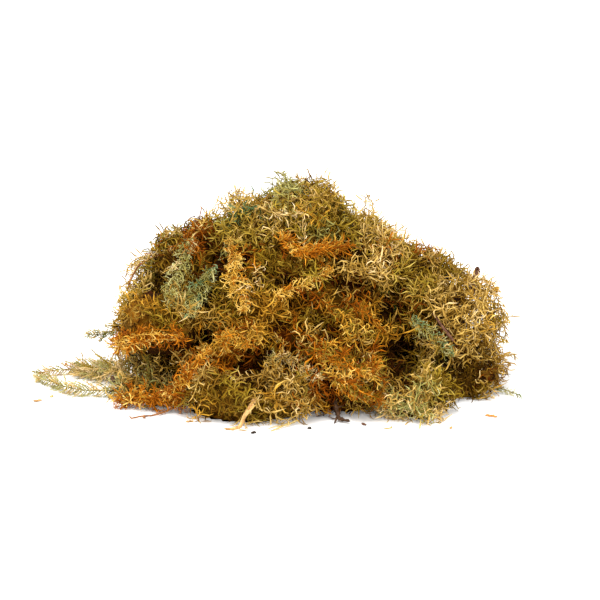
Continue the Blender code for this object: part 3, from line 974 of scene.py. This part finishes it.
def matted_inside(name):
    """The inside of a tuft, painted dark as shade, drawn in under its shoots wherever it nears the heap's outside.
    """
    shares = MIXTURES[name][0]
    mesh = remeshed(name + "_inside", as_mesh(name, node_shape(name)), 2.5 * MM)
    own = BVHTree.FromPolygons([v.co for v in mesh.vertices], [tuple(p.vertices) for p in mesh.polygons])
    moved = []
    for vertex in mesh.vertices:
        gap = skin_tree.find_nearest(vertex.co)[3]
        inwards = -vertex.normal.copy()
        inwards.z = min(inwards.z, 0.0)
        near = smooth(1.5 - gap / (6 * MM))
        place = table_place(vertex.co)
        caved = inside(place, CAVES)
        depth = MAT_DEPTH + 0.6 * HOLLOW_DEPTH * caved * smooth(place.z / 12)
        depth += LOOSE_DEPTH * inside(place, LOOSE, 60) + FOOT_DEPTH * smooth(1 - place.z / 8) * (1 - caved)
        depth = near * depth + 1.2 * MM * noise.noise(vertex.co / (3 * MM))
        through = own.ray_cast(vertex.co + inwards * 0.1 * MM, inwards)[3]
        place = vertex.co + inwards * min(depth, 0.4 * (through or 0.0))
        place.z = max(place.z, 0.2 * MM)
        moved.append(place)
    for vertex, place in zip(mesh.vertices, moved):
        vertex.co = place
    layer = mesh.uv_layers.new(name=MAP)
    for polygon in mesh.polygons:
        place = table_place(polygon.center)
        tone = kind_at(place, shares)
        # Painted shade: the darkest step in the caves and far from the air, the next step elsewhere.
        near_air = skin_tree.find_nearest(polygon.center)[3] < 14 * MM
        shade = 1 if near_air and not inside(place, CAVES) else 0
        for n, corner in enumerate(polygon.loop_indices):
            along = (shade + 0.2 + 0.6 * (n in (1, 2))) / SHADES
            layer.data[corner].uv = (along, tone + 0.008 * (n in (2, 3)))
    return mesh


for number, name in enumerate(tuft_names):
    laying = {"Skin": skin, "Seed": 100 * number, "Density": 27000.0 if name.startswith("back") else 42500.0}
    moss = dressed(name + "_moss", skin_stretch(number, name), sprawling_stems, laying, 100 * number + 50, {})
    mesh = one_mesh(name, [matted_inside(name), moss])
    mesh.materials.append(moss_finish)
    placed(name, mesh)


# Bark and dry stem: dull fibrous stuff, mottled along the piece between two colours.
# Each kind of twig, chip and seed has its own pair, and its own size of mottling.

tree, given, result = new_tree(
    "fibres", "ShaderNodeTree",
    [("Dark", "NodeSocketColor", None), ("Pale", "NodeSocketColor", None), ("Size", "NodeSocketFloat", 1.0)],
    [("Colour", "NodeSocketColor")])
place = add(tree, "ShaderNodeTexCoord").outputs["Object"]
finer = over(tree, 700.0, given.outputs["Size"])
mottle = add(
    tree, "ShaderNodeTexNoise", {"Vector": place, "Scale": finer, "Detail": 4.0, "Roughness": 0.65}).outputs["Fac"]
spread = add(tree, "ShaderNodeMapRange", {"Value": mottle, "From Min": 0.35, "From Max": 0.68}).outputs[0]
mixed = add(
    tree, "ShaderNodeMix", {"Factor": spread, "A": given.outputs["Dark"], "B": given.outputs["Pale"]},
    data_type="RGBA")
tree.links.new(mixed.outputs["Result"], result.inputs["Colour"])
fibres = tree


def fibrous(name, dark, pale, size=1.0):
    """A material of mottled dry fibre between two colours."""
    material = bpy.data.materials.new(name)
    material.use_nodes = True
    shader = material.node_tree.nodes["Principled BSDF"]
    mottled = add(material.node_tree, "ShaderNodeGroup", node_tree=fibres)
    for label, value in (("Dark", (*dark, 1)), ("Pale", (*pale, 1)), ("Size", size)):
        mottled.inputs[label].default_value = value
    material.node_tree.links.new(mottled.outputs[0], shader.inputs["Base Color"])
    shader.inputs["Roughness"].default_value = 0.8
    shader.inputs["Specular IOR Level"].default_value = 0.1
    return material


dark_bark = fibrous("dark bark", (0.016, 0.008, 0.004), (0.085, 0.042, 0.020))
purple_bark = fibrous("purple bark", (0.045, 0.018, 0.010), (0.16, 0.075, 0.042))
red_stem = fibrous("red-brown stem", (0.11, 0.035, 0.010), (0.34, 0.15, 0.050))
dry_leaf = fibrous("dry leaf", (0.26, 0.115, 0.030), (0.64, 0.42, 0.17), 1.6)
tan_chip = fibrous("tan chip", (0.22, 0.105, 0.030), (0.58, 0.35, 0.13))
black_seed = fibrous("seed coat", (0.010, 0.008, 0.006), (0.045, 0.032, 0.022), 0.6)
pale_stem = fibrous("pale stem", (0.28, 0.19, 0.055), (0.62, 0.48, 0.20))
orange_wood = fibrous("orange wood", (0.30, 0.095, 0.016), (0.66, 0.29, 0.070))


# Twigs, stems and the root: bent sticks, thicker at the root end, with ridges and broken ends.
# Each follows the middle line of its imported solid, and its side twigs leave that line.

def stick(shape, line, thick, seed, flat=1.0, knots=0.12, ends=0.75, sides=9, turn=0.0, material=0):
    """Adds a closed stick along a line, so many millimetres thick along it. Flat makes it a strip."""
    thick = [radius * MM for radius in thick]
    start = Vector((seed * 1.7, seed * -2.3, seed * 0.9))
    count = max(len(line) * 4, 10)
    circles = []
    for i in range(count):
        share = i / (count - 1)
        middle, forwards = along_line(line, share)
        middle = middle + noise.noise_vector(middle / (5 * MM) + start) * 0.35 * thick[0]
        side = forwards.cross(Vector(UP) if abs(forwards.z) < 0.9 else FRONT).normalized()
        up = side.cross(forwards)
        at = share * (len(thick) - 1)
        low = min(int(at), len(thick) - 2)
        radius = thick[low] + (thick[low + 1] - thick[low]) * (at - low)
        radius *= 1 - (1 - ends) * (abs(2 * share - 1) ** 8)
        spin = turn * share
        circle = []
        for k in range(sides):
            angle = 2 * math.pi * k / sides
            ridge = 1 + knots * noise.noise(Vector((k * 1.9, share * count / 3, seed)) + start)
            x, y = math.cos(angle) * radius * ridge, math.sin(angle) * radius * ridge * flat
            x, y = x * math.cos(spin) - y * math.sin(spin), x * math.sin(spin) + y * math.cos(spin)
            place = middle + side * x + up * y
            place.z = max(place.z, 0.03 * MM)
            circle.append(shape.verts.new(place))
        circles.append(circle)
    made = []
    for first, second in zip(circles, circles[1:]):
        for k in range(sides):
            n = (k + 1) % sides
            made.append(shape.faces.new((first[k], first[n], second[n], second[k])))
    made += [shape.faces.new(circles[0][::-1]), shape.faces.new(circles[-1])]
    for face in made:
        face.material_index = material
        face.smooth = True
    bmesh.ops.recalc_face_normals(shape, faces=made)


def off(line, share, aim, length, bend, steps=4):
    """A short line that leaves another at a share of its way, towards an aim, bending as it goes."""
    point = along_line(line, share)[0]
    aim, bend = Vector(aim).normalized(), Vector(bend)
    return [point + aim * length * i / steps + bend * length * (i / steps) ** 2 for i in range(steps + 1)]


STRAIGHT = (0, 0, 0)


def bit(name, line, thick, seed, finishes, branches=(), moss=None, **form):
    """A finished stick with its branches, and some moss on it if given.

    Each branch is its share of the way along, aim, length in mm, bend, thickness in mm, seed and form.
    """
    shape = bmesh.new()
    stick(shape, line, thick, seed, **form)
    for share, aim, length, bend, thinner, own_seed, own_form in branches:
        stick(shape, off(line, share, aim, length * MM, bend), thinner, own_seed, **own_form)
    mesh = as_mesh(name, shape)
    if moss:
        for polygon in moss.polygons:
            polygon.material_index = len(finishes)
        mesh = one_mesh(name, [mesh, moss])
        finishes = [*finishes, moss_finish]
    for finish in finishes:
        mesh.materials.append(finish)
    placed(name, mesh)


# A dark dead twig half under the pale moss, with a snapped side twig.
bit("dark_twig", centreline("dark_twig", RIGHT), (1.0, 0.9, 0.75), 1, [dark_bark], [
    (0.45, (-1, -0.35, -0.25), 5, (0, 0, -0.1), (0.5, 0.3), 2, {}),
], knots=0.4)

# A thin red-brown twig that lies out on the ground, with one bud and a forked end.
bit("budded_twig", centreline("budded_twig", LEFT), (0.55, 0.42, 0.32), 3, [red_stem], [
    (0.72, (-0.5, -0.9, 0.2), 1.6, STRAIGHT, (0.55, 0.75, 0.3), 4, {}),
    (0.93, (-0.5, 0.9, 0.1), 3, STRAIGHT, (0.3, 0.18), 5, {}),
], knots=0.3)

# A cut stub of twig that stands out of the right lobe, purplish bark frayed orange at its foot.
frays = []
for i in range(9):
    angle = 2 * math.pi * i / 9
    aim = (math.cos(angle), math.sin(angle), 0.5 + 0.3 * math.sin(i * 2.3))
    frays.append((
        0.45 + 0.02 * (i % 3), aim, 3 + i % 3, (0, 0, -0.3), (0.22, 0.1), 7 + i, {"sides": 5, "material": 1}))
bit("bark_stub", centreline("bark_stub", UP), (1.3, 1.2, 1.15), 6, [purple_bark, orange_wood], frays,
    knots=0.35, ends=0.93, sides=12)

# A thin stem that arches over the left shoulder, with small leafy shoots along it.
line = centreline("arched_stem", RIGHT)
rng = np.random.default_rng(17)
shoots = []
for share in np.linspace(0.05, 0.98, 18):
    aim = (-0.6 + rng.normal(0, 0.3), rng.normal(0, 0.5), 0.8)
    shoot = off(line, share, aim, rng.uniform(3, 6) * MM, (0.3, 0, -0.3))
    shoots.append((shoot, tone_of("straw", rng.uniform(0.3, 1)), 1.0))
leafy = along_stems("arch_leaves", shoots, 18, Leaf_Spacing=0.6 * MM, Leaf_Length=3.4 * MM, Stem_Radius=0.2 * MM)
bit("arched_stem", line, (0.5, 0.45, 0.35), 17, [red_stem], moss=leafy, knots=0.3)

# A dead grass-like stem at the front: a papery strip folded over at its foot.
bit("front_dry_stem", centreline("front_dry_stem", DOWN), (1.15, 1.0, 0.9, 0.4), 19, [dry_leaf, orange_wood], [
    (0.72, (0.9, 0.1, -0.35), 6, (0, 0, 0.12), (0.7, 0.6, 0.15), 20, {"flat": 0.35, "turn": 1.0}),
    (0.35, (0.5, -0.1, 0.8), 5, STRAIGHT, (0.3, 0.1), 21, {"flat": 0.5, "material": 1}),
], flat=0.3, knots=0.5, ends=0.4, turn=2.2, sides=10)

# A pale forked shoot that has lost its leaves.
bit("front_forked_stem", centreline("front_forked_stem", LEFT), (0.45, 0.4, 0.25), 22, [pale_stem], [
    (0.55, (-0.8, -0.5, 0.4), 6, (-0.2, 0, -0.4), (0.3, 0.15), 23, {}),
    (0.3, (-0.2, -0.9, 0.5), 4, (0.3, 0, -0.3), (0.28, 0.12), 24, {}),
], knots=0.4)

# A dark root end, forked like a claw.
bit("dark_root", centreline("dark_root", DOWN), (1.0, 0.95, 0.8, 0.35), 25, [dark_bark], [
    (0.55, (-0.5, -0.5, -0.45), 4, (0.2, 0, -0.3), (0.6, 0.25), 26, {"knots": 0.4}),
    (0.3, (0.9, -0.3, 0.35), 3.5, STRAIGHT, (0.45, 0.2), 27, {"knots": 0.4}),
], knots=0.5)

# A tapered purple-brown stem that lies on the right lobe.
line = [point + FRONT * 2.5 * MM for point in centreline("lobe_stem", DOWN)]
bit("lobe_stem", line, (0.3, 0.55, 0.65, 0.25), 28, [purple_bark], knots=0.35)


# Crumbs fallen on the ground: chips of leaf and bark, seeds, slivers of stem.
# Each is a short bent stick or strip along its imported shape, pointed or blunt as the real one.

# Each crumb: its finish, thickness along it, flatness, how blunt its ends are, and its bend.
CRUMBS = {
    "left_chip": (tan_chip, (0.3, 0.9, 0.8, 0.2), 0.35, 0.8, 1.0),
    "left_flake": (pale_stem, (0.4, 0.9, 0.7, 0.3), 0.25, 0.5, 0.4),
    "front_chip": (tan_chip, (0.25, 0.6, 0.5, 0.5), 0.6, 0.8, 0.3),
    "dark_seed": (black_seed, (0.15, 0.62, 0.5, 0.1), 0.75, 0.7, 0.1),
    "small_seed": (black_seed, (0.3, 0.6, 0.6, 0.3), 0.75, 0.6, 0.0),
    "straw_sliver": (pale_stem, (0.2, 0.4, 0.35, 0.15), 0.7, 0.7, 2.2),
    "straw_grain": (tan_chip, (0.3, 0.6, 0.5, 0.3), 0.7, 0.6, 0.1),
    "orange_splinter": (orange_wood, (0.25, 0.75, 0.65, 0.12), 0.5, 0.7, -0.4),
    "brown_bit": (purple_bark, (0.35, 0.8, 0.6, 0.3), 0.6, 0.6, 0.3),
}
SPLINTERS = [
    (0.55 - 0.1 * i, aim, 2.6, STRAIGHT, (0.25, 0.08), 50 + i, {"sides": 5})
    for i, aim in enumerate(((1, -0.5, 0.05), (1, 0.3, 0.15), (-1, -0.4, 0.1)))]
for number, (name, (finish, thick, flat, ends, bend)) in enumerate(CRUMBS.items()):
    line = centreline(name, RIGHT, count=6)
    aside = (line[-1] - line[0]).cross(Vector(UP)).normalized()
    last = len(line) - 1
    line = [point + aside * bend * MM * (math.sin(math.pi * i / last) - 0.6) for i, point in enumerate(line)]
    branches = SPLINTERS if name == "orange_splinter" else ()
    bit(name, line, thick, 31 + number, [finish], branches, flat=flat, knots=0.35, ends=ends, sides=10)

bpy.data.objects.remove(skin)
